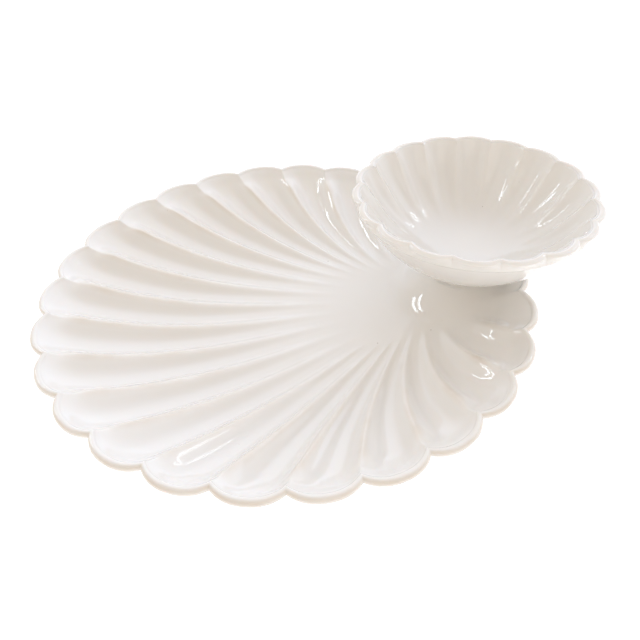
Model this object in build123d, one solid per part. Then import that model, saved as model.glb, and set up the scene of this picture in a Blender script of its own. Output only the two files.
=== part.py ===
from build123d import *
import math
import os

# Chip and dip server in glazed earthenware: a scallop-shell platter with a low pedestal near its edge,
# and a fluted dip bowl that stands loose in the pedestal's seat.
# Millimetres. The parts are drawn about the middle of the platter, then moved together so that the
# origin is on the table under the middle of the whole server. +X points from the platter's middle to
# the bowl, +Z is up, and the server is symmetrical about the XZ plane.

# ---- platter -------------------------------------------------------------------------------------
PLATTER_LOBES = 26          # scallops round the rim, a ridge between each two
CREST_RADIUS = 174.5        # tip of a scallop
NOTCH_RADIUS = 167.5        # cusp between two scallops
SCALLOP_POWER = 2.4         # 2 is nearly a circular arc, more is fuller at the cusps
RIM_HEIGHT = 47.0           # top of the rim above the table
DISH_DEPTH = 36.0           # rim to the middle of the dish
DISH_POWER = 3.0            # how flat the middle of the dish is
LIP_WIDTH = 6.0             # thickness of the rounded rim
WALL = 6.0                  # clay thickness of the dish
FLUTE_DEPTH = 7.5           # ridge crest above channel floor, near the rim
FLUTE_SHARE = 0.35          # share of that depth which is cut below the dish
RIDGE_POWER = 1.8           # more makes the ridges narrower
LIP_RUN = 20.0              # distance in which the flutes grow to full depth inside the lip
LIP_UPTURN = 1.5            # how far the dish curls up to meet the lip
UPTURN_RUN = 8.0
FLUTE_START = 0.24          # share of the way from the landing to the lip where the flutes begin
FAN_OFFSET = 22.0           # the ridges fan out from a point this far inside the pedestal's axis
FAN_BEND = 0.22             # how strongly the side ridges bow outward

# ---- foot under the platter ------------------------------------------------------------------------
FOOT_OUTER = 100.0
FOOT_INNER = 91.0
RECESS_CAP = 14.0           # flat disc in the middle of the underside

# ---- pedestal and seat -----------------------------------------------------------------------------
BOWL_X = 134.0              # axis of the pedestal and of the bowl
LANDING_HEIGHT = 40.0       # flat landing on which the pedestal is stuck
LANDING_RADIUS = 24.0
FLARE_REACH = 30.0          # the landing runs out into the dish over this distance
WAIST_RADIUS = 21.0
COLLAR_RADIUS = 33.0
COLLAR_TOP = 52.5
SEAT_HEIGHT = 48.5          # floor of the seat above the table
SEAT_CLEARANCE = 0.6        # round the bowl's foot

# ---- dip bowl ----------------------------------------------------------------------------------------
BOWL_LOBES = 18
BOWL_CREST = 82.5
BOWL_NOTCH = 79.0
BOWL_RIM_HEIGHT = 106.0
BOWL_WALL = 4.8
BOWL_OUTER_DEPTH = 55.0     # rim to the underside at the axis
BOWL_INNER_DEPTH = 48.6     # rim to the bottom of the inside
BOWL_POWER = 3.0            # curvature of the wall
BAND_HEIGHT = 7.0           # scalloped band round the outside of the rim
BAND_STEP = 0.9             # the band stands proud of the smooth wall under it by this much
BOWL_FLUTE = 4.5            # ridge height inside, under the rim
BOWL_FOOT_OUTER = 27.6
BOWL_FOOT_INNER = 22.5
BOWL_CAP = 8.0              # flat discs in the middle of the inside and of the underside

# ---- sampling of the formed surfaces -----------------------------------------------------------------
STEPS_PER_LOBE = 8


def smooth(x):
    """0 below 0, 1 above 1, and smooth between."""
    x = min(1.0, max(0.0, x))
    return x * x * (3.0 - 2.0 * x)


def lobe_fractions(lobes):
    """Positions round half of a lobed rim in lobes, closer together at the cusps, from 0 to lobes/2."""
    shares = [(1.0 - math.cos(math.pi * j / STEPS_PER_LOBE)) / 2.0 for j in range(STEPS_PER_LOBE)]
    return [k + share for k in range(lobes // 2) for share in shares] + [lobes / 2.0]


def off_centre(lobe_position):
    """0 in the middle of a lobe, 1 at the cusps."""
    return abs(2.0 * (lobe_position - math.floor(lobe_position)) - 1.0)


def ridge(lobe_position, power):
    """1 on a ridge, 0 along the middle of a channel, rounded at both."""
    return ((1.0 - math.cos(math.pi * off_centre(lobe_position))) / 2.0) ** power


def scallop(lobe_position, crest, notch):
    """Radius of a scalloped outline."""
    return crest - (crest - notch) * off_centre(lobe_position) ** SCALLOP_POWER


def dish_height(radius):
    """Top of the plain dish, before the flutes."""
    return RIM_HEIGHT - DISH_DEPTH * (1.0 - min(1.0, radius / NOTCH_RADIUS) ** DISH_POWER)


def landing_share(x, y):
    """1 on the pedestal's landing, running out to 0 in the dish."""
    away = math.hypot(x - BOWL_X, y) - LANDING_RADIUS
    return max(0.0, 1.0 - max(0.0, away) / FLARE_REACH) ** 2


def fan_ray(angle):
    """Start, end and bow of the ridge line or channel line that reaches the rim at this angle."""
    fan_x = BOWL_X - FAN_OFFSET
    reach = NOTCH_RADIUS - LIP_WIDTH
    end_x = reach * math.cos(angle)
    end_y = reach * math.sin(angle)
    length = math.hypot(end_x - fan_x, end_y)
    ux = (end_x - fan_x) / length
    uy = end_y / length
    to_edge = ux * FAN_OFFSET + math.sqrt(LANDING_RADIUS ** 2 - (uy * FAN_OFFSET) ** 2)
    start = (fan_x + ux * to_edge, uy * to_edge)
    spread = math.pi - angle
    bow = FAN_BEND * math.sin(spread) * ((1.0 - math.cos(spread)) / 2.0) ** 2 * (length - to_edge)
    return start, (end_x, end_y), bow


def platter_top_point(angle, share):
    """A point of the fluted top. share runs from 0 at the landing to 1 at the inside of the lip."""
    (x0, y0), (x1, y1), bow = fan_ray(angle)
    lobe_position = angle * PLATTER_LOBES / (2.0 * math.pi)
    length = math.hypot(x1 - x0, y1 - y0)
    side = 4.0 * share * (1.0 - share) * bow
    bulge = scallop(lobe_position, CREST_RADIUS, NOTCH_RADIUS) - NOTCH_RADIUS
    bulge *= smooth((share - 0.72) / 0.28)
    x = x0 + (x1 - x0) * share - (y1 - y0) / length * side + bulge * math.cos(angle)
    y = y0 + (y1 - y0) * share + (x1 - x0) / length * side + bulge * math.sin(angle)
    to_lip = (1.0 - share) * length
    lip_rise = smooth(to_lip / LIP_RUN)
    grown = smooth((share - FLUTE_START) / 0.60) * (0.6 + 0.4 * share)
    relief = FLUTE_DEPTH * lip_rise * grown * (ridge(lobe_position, RIDGE_POWER) - FLUTE_SHARE)
    plain = dish_height(math.hypot(x, y) - bulge) + LIP_UPTURN * (1.0 - smooth(to_lip / UPTURN_RUN))
    landing = landing_share(x, y)
    z = plain + (LANDING_HEIGHT - plain) * landing + relief * (1.0 - landing)
    return x, y, z


def lip_points(angle):
    """Round the rim, from the inside of the lip over its top to its underside."""
    outline = scallop(angle * PLATTER_LOBES / (2.0 * math.pi), CREST_RADIUS, NOTCH_RADIUS)
    half = LIP_WIDTH / 2.0
    points = []
    for turn in (140, 118, 96, 72, 48, 24, 0, -25, -50):
        out = outline - half + half * math.cos(math.radians(turn))
        z = RIM_HEIGHT - half + half * math.sin(math.radians(turn))
        points.append((out * math.cos(angle), out * math.sin(angle), z))
    return points


def platter_under_point(angle, radius):
    """A point of the underside outside the foot, which follows the dish and the landing."""
    x = radius * math.cos(angle)
    y = radius * math.sin(angle)
    plain = dish_height(radius) - WALL
    landing = landing_share(x, y)
    return x, y, plain + max(0.0, LANDING_HEIGHT - WALL - plain) * landing * 0.6


def graded(length, first, last, widest, growth=1.28):
    """Positions from 0 to length, with short steps at both ends that widen towards the middle."""
    ahead = [0.0]
    behind = [length]
    step_ahead = first
    step_behind = last
    while behind[-1] - ahead[-1] > min(step_ahead, step_behind):
        if step_ahead <= step_behind:
            ahead.append(ahead[-1] + step_ahead)
            step_ahead = min(widest, step_ahead * growth)
        else:
            behind.append(behind[-1] - step_behind)
            step_behind = min(widest, step_behind * growth)
    positions = ahead + behind[::-1]
    middle = len(ahead)
    positions[middle - 1] = (positions[middle - 2] + positions[middle]) / 2.0
    return positions


def foot_profile():
    """Radius and height of the foot's section, from outside to inside. Its end is ground flat later."""
    depth = dish_height(FOOT_OUTER) - WALL
    return [
        (FOOT_OUTER + 1.0, depth * 0.78),
        (FOOT_OUTER + 0.1, depth * 0.58),
        (FOOT_OUTER - 0.2, depth * 0.36),
        (FOOT_OUTER - 0.6, 1.7),
        (FOOT_OUTER - 1.9, -0.4),
        (FOOT_OUTER - 3.7, -0.9),
        (FOOT_INNER + 3.7, -0.9),
        (FOOT_INNER + 1.9, -0.4),
        (FOOT_INNER + 0.6, 1.7),
        (FOOT_INNER + 0.2, depth * 0.36),
        (FOOT_INNER - 0.1, depth * 0.54),
        (FOOT_INNER - 1.2, depth * 0.72),
    ]


def platter_column(angle):
    """One line of the platter's skin, from the landing over the rim to the middle of the underside."""
    column = [platter_top_point(angle, share) for share in graded(1.0, 0.012, 0.008, 0.05)]
    column += lip_points(angle)
    bulge = scallop(angle * PLATTER_LOBES / (2.0 * math.pi), CREST_RADIUS, NOTCH_RADIUS) - NOTCH_RADIUS
    edge = NOTCH_RADIUS - LIP_WIDTH * 0.70
    foot_edge = FOOT_OUTER + 2.6
    for share in graded(1.0, 0.025, 0.035, 0.13)[1:]:
        inward = edge + (foot_edge - edge) * share
        column.append(platter_under_point(angle, inward + bulge * (1.0 - share) ** 2))
    for radius, z in foot_profile():
        column.append((radius * math.cos(angle), radius * math.sin(angle), z))
    for inward in graded(FOOT_INNER - 3.0 - RECESS_CAP, 2.2, 9.0, 11.0):
        radius = FOOT_INNER - 3.0 - inward
        under = dish_height(radius) - WALL
        column.append((radius * math.cos(angle), radius * math.sin(angle), under))
    return column


def closed_solid(columns, positions):
    """A solid whose skin runs through half a turn of columns of points and their mirror image.

    Each row of points becomes a spline, each band between two rows a ruled face, and the first and
    last rows, which are level, are closed by flat caps. positions say how far round each column is."""
    rows = []
    for points in zip(*columns):
        rows.append(Edge.make_spline([Vector(*point) for point in points], parameters=positions))
    half = [Face.make_surface_from_curves(outer, inner) for outer, inner in zip(rows, rows[1:])]
    faces = half + [face.mirror(Plane.XZ) for face in half]
    for end in (rows[0], rows[-1]):
        faces.append(Face(Wire([end, end.mirror(Plane.XZ)])))
    return Solid(Shell(faces))


def shell_platter():
    """The fluted dish with its rolled rim, landing and foot. The foot is ground flat."""
    positions = lobe_fractions(PLATTER_LOBES)
    columns = [platter_column(position * 2.0 * math.pi / PLATTER_LOBES) for position in positions]
    body = closed_solid(columns, positions)
    ground = Pos(0, 0, -5) * Box(300, 300, 10)
    return body - ground


def pedestal():
    """The short waisted stand, with a collar round the shallow seat for the bowl's foot."""
    seat_radius = BOWL_FOOT_OUTER + SEAT_CLEARANCE
    base = (LANDING_RADIUS, LANDING_HEIGHT)
    flare = (WAIST_RADIUS + 0.7, LANDING_HEIGHT + 1.7)
    waist = (WAIST_RADIUS, LANDING_HEIGHT + 3.6)
    throat = (WAIST_RADIUS + 3.4, SEAT_HEIGHT - 1.6)
    under = (COLLAR_RADIUS - 1.4, SEAT_HEIGHT + 0.2)
    edge = (COLLAR_RADIUS, SEAT_HEIGHT + 2.0)
    shoulder = (COLLAR_RADIUS - 0.4, COLLAR_TOP - 0.5)
    brow = (COLLAR_RADIUS - 1.6, COLLAR_TOP)
    lead_in = 0.6
    with BuildSketch(Plane.XZ) as section:
        with BuildLine():
            ThreePointArc(base, flare, waist)
            ThreePointArc(waist, throat, under)
            ThreePointArc(under, (COLLAR_RADIUS - 0.3, SEAT_HEIGHT + 0.8), edge)
            ThreePointArc(edge, shoulder, brow)
            Polyline(
                brow,
                (seat_radius + lead_in, COLLAR_TOP),
                (seat_radius, COLLAR_TOP - lead_in),
                (seat_radius, SEAT_HEIGHT),
                (0, SEAT_HEIGHT),
                (0, LANDING_HEIGHT),
                base,
            )
        make_face()
    return Pos(BOWL_X, 0, 0) * revolve(section.sketch, Axis.Z)


def bowl_wall_height(radius):
    """Outside of the bowl's smooth wall, measured from the rim."""
    full = BOWL_NOTCH + 0.5
    return (BOWL_OUTER_DEPTH - BAND_HEIGHT + 0.5) * (radius / full) ** BOWL_POWER - BOWL_OUTER_DEPTH


def bowl_inside_height(radius):
    """Inside of the bowl before the flutes, measured from the rim."""
    return BOWL_INNER_DEPTH * ((radius / (BOWL_CREST - BOWL_WALL)) ** BOWL_POWER - 1.0)


def bowl_inside_points(position):
    """The fluted inside, from the flat middle to the rim."""
    inner_crest = BOWL_CREST - BOWL_WALL
    points = []
    for radius in graded(inner_crest, 3.0, 1.3, 6.5):
        if radius < BOWL_CAP:
            continue
        z = bowl_inside_height(radius)
        rise = radius / inner_crest
        grown = smooth((radius - 28.0) / 42.0) * rise
        near_rim = smooth((rise - 0.86) / 0.14)
        rim_shape = off_centre(position) ** SCALLOP_POWER * (BOWL_CREST - BOWL_NOTCH)
        wall_shape = ridge(position, RIDGE_POWER) * BOWL_FLUTE
        inward = (rim_shape * near_rim + wall_shape * (1.0 - near_rim)) * grown
        points.append((radius - inward, z))
    return points


def bowl_rim_points(position):
    """Over the rim and down the scalloped band to the step under it."""
    outline = scallop(position, BOWL_CREST, BOWL_NOTCH)
    half = BOWL_WALL / 2.0
    points = []
    for turn in (150, 125, 100, 75, 50, 25, 5):
        out = outline - half + half * math.cos(math.radians(turn))
        points.append((out, half * 0.8 * (math.sin(math.radians(turn)) - 1.0)))
    band_foot = BOWL_NOTCH + 0.3 + BAND_STEP
    for share in (0.35, 0.6, 0.82, 0.95):
        run = smooth(share)
        points.append((outline + (band_foot - outline) * run, -BAND_HEIGHT * share))
    points.append((band_foot - BAND_STEP * 0.35, -BAND_HEIGHT - 0.1))
    points.append((band_foot - BAND_STEP * 1.1, -BAND_HEIGHT - 0.6))
    return points


def bowl_foot_points():
    """The foot's section, from outside to inside. Its end is ground flat at the seat's height."""
    end = SEAT_HEIGHT - BOWL_RIM_HEIGHT
    outer = BOWL_FOOT_OUTER
    inner = BOWL_FOOT_INNER
    top = bowl_wall_height(outer)
    return [
        (outer + 1.3, bowl_wall_height(outer + 1.3) - 0.1),
        (outer + 0.3, top - 0.7),
        (outer, top - 1.8),
        (outer, end + 1.1),
        (outer - 0.5, end + 0.2),
        (outer - 1.4, end - 0.6),
        (inner + 1.4, end - 0.6),
        (inner + 0.5, end + 0.3),
        (inner, end + 1.4),
        (inner - 0.5, bowl_wall_height(inner) - 0.8),
        (inner - 1.8, bowl_wall_height(inner) - 0.1),
    ]


def bowl_column(position):
    """One line of the bowl's skin, from the middle of the inside over the rim to the foot's middle."""
    angle = position * 2.0 * math.pi / BOWL_LOBES
    profile = bowl_inside_points(position)[:-1] + bowl_rim_points(position)
    wall_top = BOWL_NOTCH - 0.9
    wall_foot = BOWL_FOOT_OUTER + 2.8
    for inward in graded(wall_top - wall_foot, 0.8, 1.2, 5.5):
        profile.append((wall_top - inward, bowl_wall_height(wall_top - inward)))
    profile += bowl_foot_points()
    for radius in (BOWL_FOOT_INNER - 5.0, 12.5, BOWL_CAP):
        profile.append((radius, bowl_wall_height(radius)))
    return [(r * math.cos(angle), r * math.sin(angle), BOWL_RIM_HEIGHT + z) for r, z in profile]


def dip_bowl():
    """The loose fluted bowl. Its foot is ground flat where it stands in the seat."""
    positions = lobe_fractions(BOWL_LOBES)
    body = closed_solid([bowl_column(position) for position in positions], positions)
    ground = Pos(0, 0, SEAT_HEIGHT - 5) * Box(100, 100, 10)
    return Pos(BOWL_X, 0, 0) * (body - ground)


PARTS = {
    "shell_platter": shell_platter(),
    "bowl_pedestal": pedestal(),
    "dip_bowl": dip_bowl(),
}

low_end = PARTS["shell_platter"].bounding_box().min.X
high_end = PARTS["dip_bowl"].bounding_box().max.X
to_middle = Pos(-(low_end + high_end) / 2.0, 0, 0)
os.makedirs("parts", exist_ok=True)
for name, part in PARTS.items():
    export_step(to_middle * part, f"parts/{name}.step")
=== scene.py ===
import math

import bpy
import numpy as np
from mathutils import Matrix, Vector


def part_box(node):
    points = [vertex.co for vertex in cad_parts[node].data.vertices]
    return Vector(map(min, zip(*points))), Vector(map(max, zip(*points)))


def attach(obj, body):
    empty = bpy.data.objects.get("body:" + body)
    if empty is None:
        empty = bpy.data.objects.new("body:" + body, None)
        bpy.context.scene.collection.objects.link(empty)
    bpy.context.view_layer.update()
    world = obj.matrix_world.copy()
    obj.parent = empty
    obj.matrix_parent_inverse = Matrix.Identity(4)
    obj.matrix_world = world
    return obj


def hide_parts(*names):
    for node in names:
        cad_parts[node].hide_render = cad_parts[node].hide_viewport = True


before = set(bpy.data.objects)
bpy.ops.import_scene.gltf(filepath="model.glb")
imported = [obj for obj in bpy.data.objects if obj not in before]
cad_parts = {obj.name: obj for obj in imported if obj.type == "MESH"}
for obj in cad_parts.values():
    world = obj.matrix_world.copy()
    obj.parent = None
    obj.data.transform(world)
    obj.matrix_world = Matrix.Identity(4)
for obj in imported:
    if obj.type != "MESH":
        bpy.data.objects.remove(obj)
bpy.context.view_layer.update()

# The server is drawn in millimetres about the middle of the platter, then moved to where the CAD is.
MM = 0.001
PLATTER_LOW, PLATTER_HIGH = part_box("shell_platter")
SEAT_LOW, SEAT_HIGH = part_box("bowl_pedestal")
BOWL_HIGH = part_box("dip_bowl")[1]
MIDDLE_X = (PLATTER_LOW[0] + PLATTER_HIGH[0]) / 2.0 / MM
BOWL_X = (SEAT_LOW[0] + SEAT_HIGH[0]) / 2.0 / MM - MIDDLE_X
RIM_HEIGHT = PLATTER_HIGH[2] / MM
BOWL_RIM_HEIGHT = BOWL_HIGH[2] / MM

# ---- both fluted pieces --------------------------------------------------------------------------------
SCALLOP_POWER = 2.4
RIDGE_POWER = 1.8
LIP_STEPS = 22
BARE_CLAY = 3.0                 # the wear of a ground foot, which has no glaze

# ---- platter, mm ---------------------------------------------------------------------------------------
PLATTER_LOBES = 26
PLATTER_LOBE_STEPS = 22
CREST_RADIUS = 174.5
NOTCH_RADIUS = 167.5
SCALLOP_START = 0.72            # the share of the way to the rim where a lobe begins to bulge outwards
DISH_DEPTH = 36.0
DISH_POWER = 3.0
LIP_WIDTH = 5.0
LIP_RUN = 20.0
LIP_UPTURN = 1.5
UPTURN_RUN = 8.0
WALL = 6.0
FLUTE_DEPTH = 7.5
FLUTE_SHARE = 0.35              # the share of the flutes' depth that lies under the plain dish
FLUTE_START = 0.24              # the share of the way to the rim where the ridges begin
FLUTE_GROWTH = 0.60             # the share of the way over which they grow
FAN_OFFSET = 22.0
FAN_BEND = 0.22
FOOT_OUTER = 100.0
FOOT_INNER = 91.0
FOOT_FLARE = 2.6
FOOT_ROUNDING = [(0.6, 1.7), (0.9, 0.9), (1.35, 0.3), (2.0, 0.0), (3.0, 0.0)]
LANDING_HEIGHT = 40.0
LANDING_RADIUS = 24.0
LANDING_UNDER = 0.6             # the share of the landing's rise that shows on the underside
FLARE_REACH = 30.0

# ---- pedestal, mm --------------------------------------------------------------------------------------
PEDESTAL_STEPS = 192
AXIS_GAP = 0.5                  # the radius of the innermost ring
BASE_HEIGHT = 39.0
BASE_RADIUS = 25.2
WAIST_HEIGHT = 43.6
WAIST_RADIUS = 21.0
COLLAR_RADIUS = 33.05
COLLAR_TOP = 52.5
COLLAR_BROWNED_RADIUS = 33.0
SEAT_HEIGHT = 48.5
SEAT_RADIUS = 28.2

# ---- bowl, mm ------------------------------------------------------------------------------------------
BOWL_LOBES = 18
BOWL_LOBE_STEPS = 32
BOWL_CREST = 82.5
BOWL_NOTCH = 79.0
BOWL_WALL = 4.8
BOWL_OUTER_DEPTH = 55.0
BOWL_INNER_DEPTH = 48.6
BOWL_POWER = 3.0
BOWL_FLUTE = 4.5
BOWL_FLUTE_START = 28.0
BOWL_FLUTE_GROWTH = 42.0
BOWL_SCALLOP_START = 0.86       # the share of the way to the rim where the flutes turn into its scallops
BAND_HEIGHT = 7.0
BAND_STEP = 0.9
BAND_MARGIN = 0.5               # how far the wall's curve would run on past the foot of the band
BOWL_FOOT_OUTER = 27.6
BOWL_FOOT_INNER = 22.5
BOWL_FOOT_FLARE = 2.8
BOWL_FOOT_ROUNDING = [(0.0, 1.1), (0.25, 0.45), (0.8, 0.1), (1.4, 0.0)]


# ==== forms shared by the two fluted pieces ===========================================================

def smooth(x):
    x = np.clip(x, 0.0, 1.0)
    return x * x * (3.0 - 2.0 * x)


def round_positions(lobes, steps):
    """Positions all the way round a lobed rim, in lobes, closer together at the cusps."""
    even = np.arange(steps) / steps
    share = 0.5 * even + 0.25 * (1.0 - np.cos(np.pi * even))
    return (np.arange(lobes)[:, None] + share[None, :]).ravel()


def off_centre(position):
    """0 in the middle of a lobe, 1 at its cusps."""
    return np.abs(2.0 * (position - np.floor(position)) - 1.0)


def ridge(position):
    """1 on a ridge, 0 along a channel."""
    return ((1.0 - np.cos(np.pi * off_centre(position))) / 2.0) ** RIDGE_POWER


def scallop(position, crest, notch):
    return crest - (crest - notch) * off_centre(position) ** SCALLOP_POWER


def graded(length, first, last, widest, growth=1.16):
    """Positions from 0 to length with short steps at both ends."""
    ahead = [0.0]
    behind = [length]
    step_ahead = first
    step_behind = last
    while behind[-1] - ahead[-1] > min(step_ahead, step_behind):
        if step_ahead <= step_behind:
            ahead.append(ahead[-1] + step_ahead)
            step_ahead = min(widest, step_ahead * growth)
        else:
            behind.append(behind[-1] - step_behind)
            step_behind = min(widest, step_behind * growth)
    return ahead + behind[::-1]


def foot_ring(outer, inner, ground, rounding):
    """Radius and height of each ring under a foot, from its outer side to its inner side. rounding gives
    the insets and heights of both edges."""
    down = [(outer - inset, ground + height) for inset, height in rounding]
    up = [(inner + inset, ground + height) for inset, height in reversed(rounding)]
    return down + up


class Rings:
    """Rings of points in mm, gathered in order for a skin. shade_and_wear says how far an edge or ridge is
    browned, which is painted shade on the platter's ridges and lip, and where a ground foot shows bare clay;
    pool says how deep the glaze lies in a hollow: one value for the whole ring, or one for each point."""

    def __init__(self, angle, centre_x):
        self.around = np.stack([np.cos(angle), np.sin(angle)], axis=1)
        self.centre = np.array([centre_x, 0.0])
        self.rows = []
        self.shade_and_wear = []
        self.pool = []

    def spread(self, value):
        """One value, or one for each point, as an array with one for each point."""
        return np.broadcast_to(np.asarray(value, float), (len(self.around),)).copy()

    def add(self, points, shade_and_wear=0.0, pool=0.0):
        self.rows.append(points)
        self.shade_and_wear.append(self.spread(shade_and_wear))
        self.pool.append(self.spread(pool))

    def level(self, radius, height, shade_and_wear=0.0, pool=0.0):
        """A ring round the centre."""
        flat = self.centre + self.around * self.spread(radius)[:, None]
        self.add(np.column_stack([flat, self.spread(height)]), shade_and_wear, pool)


def skin(name, rings):
    """A closed mesh through the rings. The first and the last are closed by a fan to their middles."""
    rows = rings.rows
    count = len(rows[0])
    points = np.concatenate(rows + [rows[0].mean(axis=0)[None, :], rows[-1].mean(axis=0)[None, :]])
    points[:, 0] += MIDDLE_X
    start_pole = count * len(rows)
    end_pole = start_pole + 1
    here = np.arange(count)
    after = np.roll(here, -1)
    quads = []
    for row in range(len(rows) - 1):
        low = row * count
        high = low + count
        quads.append(np.stack([low + here, high + here, high + after, low + after], axis=1))
    faces = [tuple(face) for face in np.concatenate(quads).tolist()]
    last = count * (len(rows) - 1)
    faces += [(start_pole, int(a), int(b)) for a, b in zip(here, after)]
    faces += [(end_pole, int(last + b), int(last + a)) for a, b in zip(here, after)]
    mesh = bpy.data.meshes.new(name)
    mesh.from_pydata((points * MM).tolist(), [], faces)
    for label, values in (("shade_and_wear", rings.shade_and_wear), ("pool", rings.pool)):
        layer = mesh.attributes.new(label, "FLOAT", "POINT")
        flat = np.concatenate([np.concatenate(values), [values[0].mean(), values[-1].mean()]])
        layer.data.foreach_set("value", flat.astype(np.float32))
    mesh.polygons.foreach_set("use_smooth", np.ones(len(mesh.polygons), dtype=bool))
    mesh.update()
    mesh.validate()
    piece = bpy.data.objects.new(name, mesh)
    bpy.context.scene.collection.objects.link(piece)
    return piece


# ==== platter ==========================================================================================

def dish_height(radius):
    return RIM_HEIGHT - DISH_DEPTH * (1.0 - np.minimum(1.0, radius / NOTCH_RADIUS) ** DISH_POWER)


def landing_share(x, y):
    away = np.hypot(x - BOWL_X, y) - LANDING_RADIUS
    return np.maximum(0.0, 1.0 - np.maximum(0.0, away) / FLARE_REACH) ** 2


def fan_rays(angle):
    """Start, end and bow of the line across the dish that reaches the rim at each angle."""
    fan_x = BOWL_X - FAN_OFFSET
    end = (NOTCH_RADIUS - LIP_WIDTH) * np.stack([np.cos(angle), np.sin(angle)], axis=1)
    run = end - np.array([fan_x, 0.0])
    length = np.hypot(run[:, 0], run[:, 1])
    unit = run / length[:, None]
    to_edge = unit[:, 0] * FAN_OFFSET + np.sqrt(LANDING_RADIUS ** 2 - (unit[:, 1] * FAN_OFFSET) ** 2)
    start = np.array([fan_x, 0.0]) + unit * to_edge[:, None]
    turned = np.where(angle > np.pi, 2.0 * np.pi - angle, angle)
    spread = np.pi - turned
    side = np.where(angle > np.pi, -1.0, 1.0)
    bow = FAN_BEND * np.sin(spread) * ((1.0 - np.cos(spread)) / 2.0) ** 2 * (length - to_edge) * side
    return start, end, bow


def platter_top(angle, share):
    """One ring of the fluted top, with the painted shade along its ridges and its pooling."""
    start, end, bow = fan_rays(angle)
    run = end - start
    length = np.hypot(run[:, 0], run[:, 1])
    side = 4.0 * share * (1.0 - share) * bow
    position = angle * PLATTER_LOBES / (2.0 * np.pi)
    bulge = scallop(position, CREST_RADIUS, NOTCH_RADIUS) - NOTCH_RADIUS
    bulge = bulge * smooth((share - SCALLOP_START) / (1.0 - SCALLOP_START))
    x = start[:, 0] + run[:, 0] * share - run[:, 1] / length * side + bulge * np.cos(angle)
    y = start[:, 1] + run[:, 1] * share + run[:, 0] / length * side + bulge * np.sin(angle)
    to_lip = (1.0 - share) * length
    lip_rise = smooth(to_lip / LIP_RUN)
    grown = smooth((share - FLUTE_START) / FLUTE_GROWTH) * (0.6 + 0.4 * share)
    crest = ridge(position)
    relief = FLUTE_DEPTH * lip_rise * grown * (crest - FLUTE_SHARE)
    plain = dish_height(np.hypot(x, y) - bulge) + LIP_UPTURN * (1.0 - smooth(to_lip / UPTURN_RUN))
    landing = landing_share(x, y)
    z = plain + (LANDING_HEIGHT - plain) * landing + relief * (1.0 - landing)
    # painted shade: the ridge crests are browned towards the edge colour to stand in for the shade along
    # their steep sides
    shade_and_wear = 0.9 * crest ** 5 * grown * lip_rise
    pool = (1.0 - crest) ** 2 * grown * (0.4 + 0.6 * (1.0 - lip_rise))
    return np.stack([x, y, z], axis=1), shade_and_wear, pool


def make_platter():
    position = round_positions(PLATTER_LOBES, PLATTER_LOBE_STEPS)
    angle = position * 2.0 * np.pi / PLATTER_LOBES
    outline = scallop(position, CREST_RADIUS, NOTCH_RADIUS)
    rings = Rings(angle, 0.0)

    # the landing and the fluted dish, from the pedestal's axis outwards
    start = fan_rays(angle)[0]
    centre = np.array([BOWL_X, 0.0])
    for share in (0.35, 0.7, 0.9):
        disc = centre + (start - centre) * share
        rings.add(np.column_stack([disc, np.full(len(angle), LANDING_HEIGHT)]))
    for share in graded(1.0, 0.003, 0.0035, 0.0175):
        rings.add(*platter_top(angle, share))

    # the rounded lip
    half = LIP_WIDTH / 2.0
    for turn in np.radians(np.linspace(150.0, -55.0, LIP_STEPS)):
        # painted shade: the lip's upper outer side is browned to stand in for its shadow side
        shaded_and_worn = max(0.0, math.cos(turn - math.radians(35.0))) ** 3
        rings.level(outline - half + half * math.cos(turn), RIM_HEIGHT - half + half * math.sin(turn), shaded_and_worn)

    # the underside, down to the foot
    bulge = outline - NOTCH_RADIUS
    edge = NOTCH_RADIUS - LIP_WIDTH * 0.70
    foot_edge = FOOT_OUTER + FOOT_FLARE
    for share in graded(1.0, 0.012, 0.018, 0.05)[1:]:
        radius = edge + (foot_edge - edge) * share + bulge * (1.0 - share) ** 2
        plain = dish_height(radius) - WALL
        landing = landing_share(radius * np.cos(angle), radius * np.sin(angle))
        rise = np.maximum(0.0, LANDING_HEIGHT - WALL - plain) * landing * LANDING_UNDER
        rings.level(radius, plain + rise)

    # the ring foot and the recess inside it
    depth = dish_height(FOOT_OUTER) - WALL
    outer_side = [(1.0, 0.78), (0.4, 0.68), (0.1, 0.58), (-0.2, 0.36), (-0.4, 0.24)]
    inner_side = [(0.2, 0.36), (-0.1, 0.54), (-0.5, 0.64), (-1.2, 0.72), (-2.0, 0.765)]
    for outset, share in outer_side:
        rings.level(FOOT_OUTER + outset, depth * share)
    for radius, z in foot_ring(FOOT_OUTER, FOOT_INNER, 0.0, FOOT_ROUNDING):
        rings.level(radius, z, BARE_CLAY if z == 0.0 else 0.0)
    for outset, share in inner_side:
        rings.level(FOOT_INNER + outset, depth * share)
    for radius in np.linspace(FOOT_INNER - 3.0, 4.0, 26):
        rings.level(radius, dish_height(radius) - WALL)
    return skin("glazed_platter", rings)


# ==== pedestal ==========================================================================================

def bezier(a, b, c, d, count):
    t = np.linspace(0.0, 1.0, count)[:, None]
    a, b, c, d = (np.array(p, float) for p in (a, b, c, d))
    return (1 - t) ** 3 * a + 3 * (1 - t) ** 2 * t * b + 3 * (1 - t) * t ** 2 * c + t ** 3 * d


def joined_curves(start, spans):
    """Points along Bezier curves joined end to end. A span is two handles, an end and a number of points."""
    points = np.array([start], float)
    for handle_out, handle_in, end, count in spans:
        points = np.concatenate([points, bezier(points[-1], handle_out, handle_in, end, count)[1:]])
    return points


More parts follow.
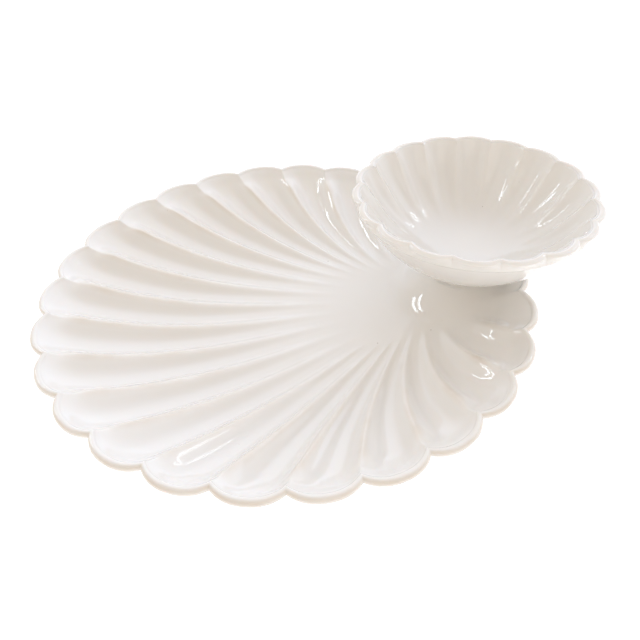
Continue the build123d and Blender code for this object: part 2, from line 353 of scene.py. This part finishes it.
def make_pedestal():
    """The stand's section turned round its axis. Its base runs out into the platter under the glaze."""
    base = BASE_HEIGHT
    waist = WAIST_RADIUS
    collar = COLLAR_RADIUS
    top = COLLAR_TOP
    seat = SEAT_RADIUS
    ground = SEAT_HEIGHT
    section = joined_curves((AXIS_GAP, base), [
        # the base, the waist and the underside of the collar
        ((8.0, base), (17.0, base), (BASE_RADIUS, base), 6),
        ((BASE_RADIUS - 1.3, base + 1.1), (waist + 0.2, WAIST_HEIGHT - 2.2), (waist, WAIST_HEIGHT), 14),
        ((waist - 0.1, WAIST_HEIGHT + 2.8), (collar - 6.65, top - 4.2), (collar - 1.55, top - 3.8), 18),
        # the collar's rounded edge and its top
        ((collar - 0.35, top - 3.6), (collar, top - 2.7), (collar, top - 1.9), 8),
        ((collar, top - 0.6), (collar - 0.85, top - 0.05), (collar - 1.85, top), 10),
        ((seat + 2.1, top), (seat + 1.4, top), (seat + 0.8, top - 0.05), 5),
        # the wall of the seat and its floor
        ((seat + 0.3, top - 0.2), (seat, top - 0.5), (seat, top - 1.1), 7),
        ((seat, top - 1.9), (seat, ground + 1.4), (seat, ground + 0.8), 4),
        ((seat, ground + 0.3), (seat - 0.2, ground), (seat - 0.8, ground), 6),
        ((20.0, ground), (8.0, ground), (AXIS_GAP, ground), 6),
    ])
    rings = Rings(np.linspace(0.0, 2.0 * np.pi, PEDESTAL_STEPS, endpoint=False), BOWL_X)
    for radius, z in section[::-1]:
        shaded_and_worn = 0.9 * math.exp(-(radius - COLLAR_BROWNED_RADIUS) ** 2) if z > ground + 1.0 else 0.0
        in_waist = radius < waist + 2.0 and z < ground - 1.5
        rings.level(radius, z, shaded_and_worn, 0.5 if in_waist else 0.0)
    return skin("glazed_pedestal", rings)


# ==== bowl ==============================================================================================

def bowl_wall_height(radius):
    """Height of the bowl's outside at a radius under the band. The rim is at 0, so it is negative."""
    rise = BOWL_OUTER_DEPTH - BAND_HEIGHT + BAND_MARGIN
    return rise * (radius / (BOWL_NOTCH + BAND_MARGIN)) ** BOWL_POWER - BOWL_OUTER_DEPTH


def make_bowl():
    position = round_positions(BOWL_LOBES, BOWL_LOBE_STEPS)
    angle = position * 2.0 * np.pi / BOWL_LOBES
    outline = scallop(position, BOWL_CREST, BOWL_NOTCH)
    rings = Rings(angle, BOWL_X)

    def ring(radius, below_rim, shaded_and_worn=0.0, pooled=0.0):
        rings.level(radius, BOWL_RIM_HEIGHT + below_rim, shaded_and_worn, pooled)

    # the fluted inside, from the middle outwards
    inner_crest = BOWL_CREST - BOWL_WALL
    crest = ridge(position)
    rim_shape = off_centre(position) ** SCALLOP_POWER * (BOWL_CREST - BOWL_NOTCH)
    for radius in graded(inner_crest, 2.0, 0.35, 1.6)[1:-1]:
        share = radius / inner_crest
        grown = smooth((radius - BOWL_FLUTE_START) / BOWL_FLUTE_GROWTH) * share
        near_rim = smooth((share - BOWL_SCALLOP_START) / (1.0 - BOWL_SCALLOP_START))
        inward = (rim_shape * near_rim + crest * BOWL_FLUTE * (1.0 - near_rim)) * grown
        shaded_and_worn = 0.35 * crest ** 3 * grown
        pooled = (1.0 - crest) ** 2 * grown * 0.6
        ring(radius - inward, BOWL_INNER_DEPTH * (share ** BOWL_POWER - 1.0), shaded_and_worn, pooled)

    # the rounded rim
    half = BOWL_WALL / 2.0
    for turn in np.radians(np.linspace(158.0, 2.0, LIP_STEPS)):
        shaded_and_worn = max(0.0, math.sin(turn)) ** 6
        ring(outline - half + half * math.cos(turn), half * 0.8 * (math.sin(turn) - 1.0), shaded_and_worn)

    # the plain band under the rim, and the step below it: share of the step, drop, edge browning and pooling
    band_foot = BOWL_NOTCH + 0.3 + BAND_STEP
    for share in np.linspace(0.33, 0.97, 14):
        ring(outline + (band_foot - outline) * smooth(share), -BAND_HEIGHT * share)
    step = [(0.12, 0.02, 0.3, 0.0), (0.45, 0.12, 0.1, 0.0), (0.8, 0.3, 0.0, 0.5), (1.1, 0.6, 0.0, 1.0)]
    for share, drop, shaded_and_worn, pooled in step:
        ring(band_foot - BAND_STEP * share, -BAND_HEIGHT - drop, shaded_and_worn, pooled)

    # the outside, down to the foot
    wall_top = BOWL_NOTCH - 0.9
    wall_foot = BOWL_FOOT_OUTER + BOWL_FOOT_FLARE
    for inward in graded(wall_top - wall_foot, 0.5, 0.8, 2.0):
        ring(wall_top - inward, bowl_wall_height(wall_top - inward))

    # the foot ring, faired into the wall above it, and the bottom inside it
    outer = BOWL_FOOT_OUTER
    inner = BOWL_FOOT_INNER
    ground = SEAT_HEIGHT - BOWL_RIM_HEIGHT
    for outset, drop in ((1.9, 0.05), (1.1, 0.2)):
        ring(outer + outset, bowl_wall_height(outer + outset) - drop, 0.0, 0.3)
    for outset, drop, pooled in ((0.5, 0.45, 0.3), (0.15, 0.85, 0.3), (0.0, 1.4, 0.0)):
        ring(outer + outset, bowl_wall_height(outer) - drop, 0.0, pooled)
    for radius, z in foot_ring(outer, inner, ground, BOWL_FOOT_ROUNDING):
        ring(radius, z, BARE_CLAY if z == ground else 0.0)
    for inset, drop in ((0.3, 0.9), (0.9, 0.4), (1.8, 0.1)):
        ring(inner - inset, bowl_wall_height(inner) - drop)
    for radius in (inner - 4.0, 15.0, 11.0, 7.0, 3.5):
        ring(radius, bowl_wall_height(radius))
    return skin("glazed_bowl", rings)


# ==== glaze =============================================================================================

def glaze(name, tint, seed):
    """A slightly milky gloss glaze on a white body: cool where it pools, browned along edges and ridges,
    which is painted shade on the platter's ridges and lip, with faint waviness and a few dark specks. A
    ground foot shows the bare clay."""
    material = bpy.data.materials.new(name)
    material.use_nodes = True
    nodes = material.node_tree.nodes
    links = material.node_tree.links
    nodes.clear()
    out = nodes.new("ShaderNodeOutputMaterial")
    shader = nodes.new("ShaderNodeBsdfPrincipled")
    links.new(shader.outputs["BSDF"], out.inputs["Surface"])
    place = nodes.new("ShaderNodeTexCoord")
    shift = nodes.new("ShaderNodeMapping")
    shift.inputs["Location"].default_value = (seed * 0.137, seed * 0.071, seed * 0.053)
    links.new(place.outputs["Object"], shift.inputs["Vector"])

    def noise(scale, detail=3.0, rough=0.5):
        node = nodes.new("ShaderNodeTexNoise")
        node.inputs["Scale"].default_value = scale
        node.inputs["Detail"].default_value = detail
        node.inputs["Roughness"].default_value = rough
        links.new(shift.outputs["Vector"], node.inputs["Vector"])
        return node.outputs["Fac"]

    def ranged(value, low, high, to_low, to_high):
        node = nodes.new("ShaderNodeMapRange")
        node.inputs["From Min"].default_value = low
        node.inputs["From Max"].default_value = high
        node.inputs["To Min"].default_value = to_low
        node.inputs["To Max"].default_value = to_high
        links.new(value, node.inputs["Value"])
        return node.outputs["Result"]

    def blend(share, first, second):
        node = nodes.new("ShaderNodeMix")
        node.data_type = "RGBA"
        links.new(share, node.inputs["Factor"])
        for value, socket in ((first, node.inputs["A"]), (second, node.inputs["B"])):
            if isinstance(value, tuple):
                socket.default_value = value + (1.0,)
            else:
                links.new(value, socket)
        return node.outputs["Result"]

    def attribute(label):
        node = nodes.new("ShaderNodeAttribute")
        node.attribute_name = label
        return node.outputs["Fac"]

    def maths(operation, first, second):
        node = nodes.new("ShaderNodeMath")
        node.operation = operation
        for value, socket in ((first, node.inputs[0]), (second, node.inputs[1])):
            if isinstance(value, float):
                socket.default_value = value
            else:
                links.new(value, socket)
        return node.outputs["Value"]

    cloud = ranged(noise(9.0, 4.0), 0.35, 0.65, 0.0, 1.0)
    body = blend(cloud, tint["white"], tint["cream"])
    pooled = ranged(attribute("pool"), 0.0, 1.0, 0.0, 0.50)
    body = blend(pooled, body, tint["pool"])
    # painted shade on the platter's ridges and lip: edges and ridges are browned towards the edge colour
    shade_and_wear_noise = ranged(noise(60.0, 3.0), 0.3, 0.75, 0.5, 1.25)
    shaded_and_worn = maths("MULTIPLY", attribute("shade_and_wear"), shade_and_wear_noise)
    body = blend(ranged(shaded_and_worn, 0.15, 1.3, 0.0, 0.75), body, tint["edge"])
    bare = ranged(attribute("shade_and_wear"), 1.6, 2.2, 0.0, 1.0)
    body = blend(bare, body, tint["clay"])
    specks = nodes.new("ShaderNodeTexVoronoi")
    specks.inputs["Scale"].default_value = 85.0
    links.new(shift.outputs["Vector"], specks.inputs["Vector"])
    fleck = ranged(specks.outputs["Distance"], 0.025, 0.05, 1.0, 0.0)
    chosen = ranged(noise(23.0, 0.0), 0.63, 0.66, 0.0, 0.65)
    body = blend(maths("MULTIPLY", fleck, chosen), body, tint["speck"])
    links.new(body, shader.inputs["Base Color"])

    gloss = ranged(noise(35.0, 3.0), 0.3, 0.7, 0.035, 0.085)
    bare_gloss = maths("MULTIPLY", bare, 0.6)
    links.new(maths("ADD", gloss, bare_gloss), shader.inputs["Roughness"])
    shader.inputs["IOR"].default_value = 1.52
    shader.inputs["Specular IOR Level"].default_value = 0.5
    shader.inputs["Coat Weight"].default_value = 0.35
    shader.inputs["Coat Roughness"].default_value = 0.02
    shader.inputs["Subsurface Weight"].default_value = 0.12
    shader.inputs["Subsurface Radius"].default_value = (1.0, 0.75, 0.55)
    shader.inputs["Subsurface Scale"].default_value = 0.002

    sag = nodes.new("ShaderNodeBump")
    sag.inputs["Strength"].default_value = 0.25
    sag.inputs["Distance"].default_value = 0.0007
    links.new(noise(18.0, 2.0, 0.4), sag.inputs["Height"])
    peel = nodes.new("ShaderNodeBump")
    peel.inputs["Strength"].default_value = 0.08
    peel.inputs["Distance"].default_value = 0.00012
    links.new(noise(120.0, 2.0, 0.5), peel.inputs["Height"])
    links.new(sag.outputs["Normal"], peel.inputs["Normal"])
    links.new(peel.outputs["Normal"], shader.inputs["Normal"])
    return material


# edge is the brown that edges and ridges are tinted towards, which on the platter's ridges and lip is
# painted shade
PLATTER_TINT = {
    "white": (0.858, 0.838, 0.806), "cream": (0.842, 0.815, 0.772), "pool": (0.850, 0.838, 0.812),
    "edge": (0.700, 0.600, 0.480), "clay": (0.640, 0.560, 0.450), "speck": (0.300, 0.230, 0.170),
}
BOWL_TINT = {
    "white": (0.858, 0.838, 0.803), "cream": (0.842, 0.815, 0.768), "pool": (0.850, 0.836, 0.806),
    "edge": (0.760, 0.690, 0.600), "clay": (0.640, 0.560, 0.450), "speck": (0.300, 0.230, 0.170),
}

platter = make_platter()
platter.data.materials.append(glaze("platter_glaze", PLATTER_TINT, 1.0))
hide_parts("shell_platter")
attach(platter, "server")

pedestal = make_pedestal()
pedestal.data.materials.append(glaze("pedestal_glaze", PLATTER_TINT, 2.0))
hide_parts("bowl_pedestal")
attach(pedestal, "server")

bowl = make_bowl()
bowl.data.materials.append(glaze("bowl_glaze", BOWL_TINT, 3.0))
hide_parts("dip_bowl")
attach(bowl, "bowl")


# ==== floor =============================================================================================

def make_floor():
    """A large flat pale sheet under the object, faintly lit so that it stays white."""
    sides = 96
    height = -0.0002
    radii = (0.0005, 0.4, 0.8, 1.5, 2.5, 3.5)
    turn = np.linspace(0.0, 2.0 * np.pi, sides, endpoint=False)
    points = [(radius * math.cos(a), radius * math.sin(a), height) for radius in radii for a in turn]
    faces = [tuple(range(sides))]
    for low in range(0, sides * (len(radii) - 1), sides):
        high = low + sides
        for k in range(sides):
            after = (k + 1) % sides
            faces.append((high + k, high + after, low + after, low + k))
    mesh = bpy.data.meshes.new("floor")
    mesh.from_pydata(points, [], faces)
    sheet = bpy.data.objects.new("floor", mesh)
    bpy.context.scene.collection.objects.link(sheet)
    material = bpy.data.materials.new("floor_paper")
    material.use_nodes = True
    nodes = material.node_tree.nodes
    links = material.node_tree.links
    shader = nodes["Principled BSDF"]
    grain = nodes.new("ShaderNodeTexNoise")
    grain.inputs["Scale"].default_value = 40.0
    ramp = nodes.new("ShaderNodeMapRange")
    ramp.inputs["To Min"].default_value = 0.90
    ramp.inputs["To Max"].default_value = 0.93
    links.new(grain.outputs["Fac"], ramp.inputs["Value"])
    links.new(ramp.outputs["Result"], shader.inputs["Base Color"])
    shader.inputs["Roughness"].default_value = 0.9
    shader.inputs["Emission Color"].default_value = (0.96, 0.98, 1.0, 1.0)
    shader.inputs["Emission Strength"].default_value = 0.36
    sheet.data.materials.append(material)
    return sheet


make_floor()


# ==== light =============================================================================================

def panel(name, where, aim, width, height, power, colour):
    light = bpy.data.lights.new(name, "AREA")
    light.shape = "RECTANGLE"
    light.size = width
    light.size_y = height
    light.energy = power
    light.color = colour
    lamp = bpy.data.objects.new(name, light)
    lamp.location = where
    lamp.rotation_euler = (Vector(aim) - Vector(where)).to_track_quat("-Z", "Y").to_euler()
    bpy.context.scene.collection.objects.link(lamp)
    return lamp


AIM = (0.0, 0.0, 0.04)
DAY = (0.80, 0.90, 1.0)
WARM = (1.0, 0.95, 0.88)
ALONG_WINDOW = Vector((0.62, 0.78, 0.0))

# a window at the back left, three panes up and two across, seen as glints
for column in range(2):
    for row in range(3):
        side = ALONG_WINDOW * ((column - 0.5) * 0.20)
        where = (-1.00 + side.x, 0.72 + side.y, 0.75 + row * 0.22)
        panel(f"pane_{column}_{row}", where, AIM, 0.09, 0.16, 0.38, DAY)

# thin panes of a far window high at the right
for column in range(3):
    where = (1.42 + column * 0.05, 0.60 - column * 0.12, 1.25)
    panel(f"far_pane_{column}", where, AIM, 0.05, 0.30, 0.32, DAY)

# a dim warm wall in front
panel("front_wall", (0.2, -2.4, 1.4), AIM, 2.0, 1.0, 4.0, WARM)


def make_room():
    """A warm room, paler towards the horizon, with broad cool daylight from the back right."""
    world = bpy.data.worlds.new("room")
    bpy.context.scene.world = world
    world.use_nodes = True
    nodes = world.node_tree.nodes
    links = world.node_tree.links
    background = nodes["Background"]
    background.inputs["Strength"].default_value = 1.0
    direction = nodes.new("ShaderNodeTexCoord").outputs["Generated"]

    def share_towards(aim, low, high):
        dot = nodes.new("ShaderNodeVectorMath")
        dot.operation = "DOT_PRODUCT"
        links.new(direction, dot.inputs[0])
        dot.inputs[1].default_value = Vector(aim).normalized()
        share = nodes.new("ShaderNodeMapRange")
        share.interpolation_type = "SMOOTHSTEP"
        share.inputs["From Min"].default_value = low
        share.inputs["From Max"].default_value = high
        links.new(dot.outputs["Value"], share.inputs["Value"])
        return share.outputs["Result"]

    def blend(share, first, second):
        mix = nodes.new("ShaderNodeMix")
        mix.data_type = "RGBA"
        mix.clamp_result = False
        links.new(share, mix.inputs["Factor"])
        if isinstance(first, tuple):
            mix.inputs["A"].default_value = first + (1.0,)
        else:
            links.new(first, mix.inputs["A"])
        mix.inputs["B"].default_value = second + (1.0,)
        return mix.outputs["Result"]

    walls = blend(share_towards((0.0, 0.0, 1.0), 0.0, 0.9), (0.92, 0.885, 0.85), (0.68, 0.60, 0.52))
    lit = blend(share_towards((0.55, 0.68, 0.42), 0.20, 1.0), walls, (1.42, 1.49, 1.66))
    links.new(lit, background.inputs["Color"])


make_room()
bpy.context.scene.view_settings.view_transform = "Standard"


# ==== camera ============================================================================================

def make_camera():
    """Stands in front of the platter and above it, a little to the left, looking down across it."""
    data = bpy.data.cameras.new("camera")
    data.sensor_width = 36.0
    data.lens = 35.09
    data.shift_x = 0.03409
    data.shift_y = -0.05566
    data.clip_start = 0.02
    data.clip_end = 30.0
    camera = bpy.data.objects.new("camera", data)
    look = Vector((0.08817, 0.76684, -0.63576))
    camera.rotation_mode = "QUATERNION"
    level = look.to_track_quat("-Z", "Y")
    roll = Matrix.Rotation(math.radians(-3.070), 4, "Z").to_quaternion()
    camera.rotation_quaternion = level @ roll
    camera.location = Vector((-28.74 + MIDDLE_X, -344.32, 329.20)) * MM
    bpy.context.scene.collection.objects.link(camera)
    bpy.context.scene.camera = camera
    return camera


make_camera()
